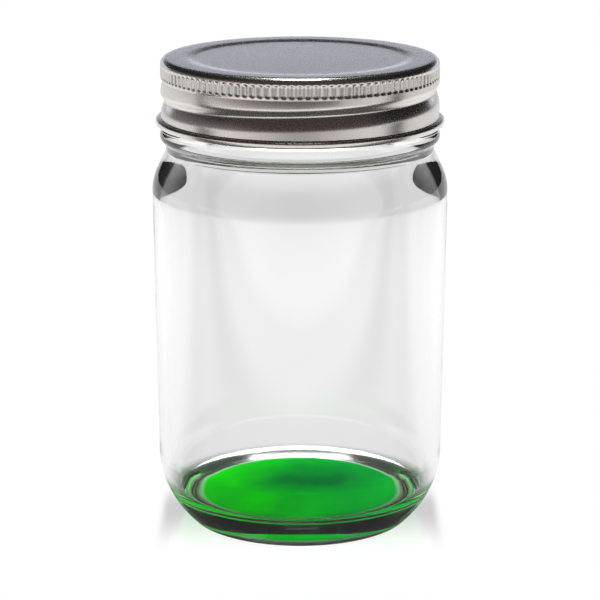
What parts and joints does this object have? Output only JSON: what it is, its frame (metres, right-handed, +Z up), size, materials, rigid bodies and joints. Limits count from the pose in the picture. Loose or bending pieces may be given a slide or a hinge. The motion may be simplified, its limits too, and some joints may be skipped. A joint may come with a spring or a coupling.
{
  "type": "coin bank jar",
  "caption": "Round clear glass jar with a one-piece screw-on metal lid and a translucent green coat under its base.",
  "frame": {"origin": "centre of the standing ring, on the surface that the jar stands on", "axes": "+Z up along the axis of the jar and lid; -Y faces the viewer"},
  "size_m": [0.0754, 0.0754, 0.1206],
  "materials": {
    "clear_glass": "clear flint glass, fire polished",
    "green_lacquer": "translucent green lacquer, glossy",
    "tinplate": "silver tinplate, satin lacquer",
    "seal_compound": "soft off-white sealing compound"
  },
  "bodies": {
    "jar": {"glass_jar": "clear_glass", "green_base_coat": "green_lacquer"},
    "gasket": {"sealing_gasket": "seal_compound"},
    "lid": {"lid_shell": "tinplate"}
  },
  "joints": [
    {"name": "lid_rise", "type": "slide", "parent": "jar", "child": "gasket", "axis": [0, 0, 1], "range_m": [0, 0.0227]},
    {"name": "lid_turn", "type": "hinge", "parent": "gasket", "child": "lid", "pos_m": [0, 0, 0.1125], "axis": [0, 0, 1], "range_deg": [0, 1440]}
  ],
  "couplings": [
    {"joint": "lid_rise", "follows": "lid_turn", "m_per_rad": 0.00089923}
  ]
}
